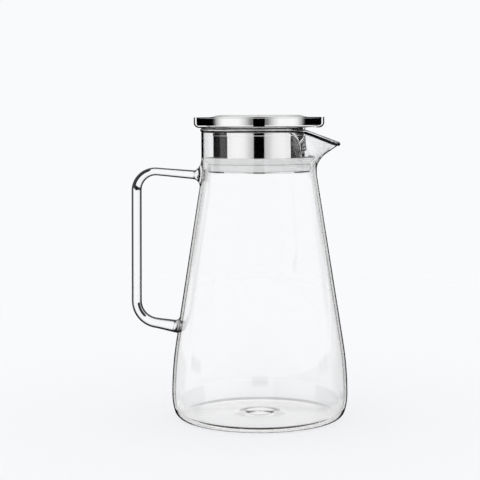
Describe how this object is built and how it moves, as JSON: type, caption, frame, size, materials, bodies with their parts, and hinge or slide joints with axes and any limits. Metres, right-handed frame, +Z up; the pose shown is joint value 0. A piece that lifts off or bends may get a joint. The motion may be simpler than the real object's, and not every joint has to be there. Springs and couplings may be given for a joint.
{
  "type": "glass jug with strainer lid",
  "caption": "Clear glass jug with a cone-shaped body, pulled spout and rod handle, closed by a polished steel lid with a perforated sleeve and a silicone seal.",
  "frame": {"origin": "centre of the foot ring that the jug stands on, on the jug's axis", "axes": "+Z up along the jug's axis, +X towards the spout, -X towards the handle"},
  "size_m": [0.1822, 0.1482, 0.2546],
  "materials": {
    "clear_glass": "clear, fire polished",
    "polished_steel": "mirror-polished stainless steel",
    "clear_silicone": "translucent, satin"
  },
  "bodies": {
    "jug": {"jug_body": "clear_glass", "handle_rod": "clear_glass", "upper_handle_weld": "clear_glass", "lower_handle_weld": "clear_glass"},
    "seal": {"seal_ring": "clear_silicone"},
    "lid": {"lid_pan": "polished_steel", "lid_top_plate": "polished_steel", "sleeve_collar": "polished_steel", "strainer_sleeve": "polished_steel"}
  },
  "joints": [
    {"name": "lid_lift", "type": "slide", "parent": "jug", "child": "seal", "axis": [0, 0, 1], "range_m": [0, 0.06]},
    {"name": "lid_turn", "type": "hinge", "parent": "seal", "child": "lid", "pos_m": [0, 0, 0.214], "axis": [0, 0, 1], "continuous": true}
  ]
}
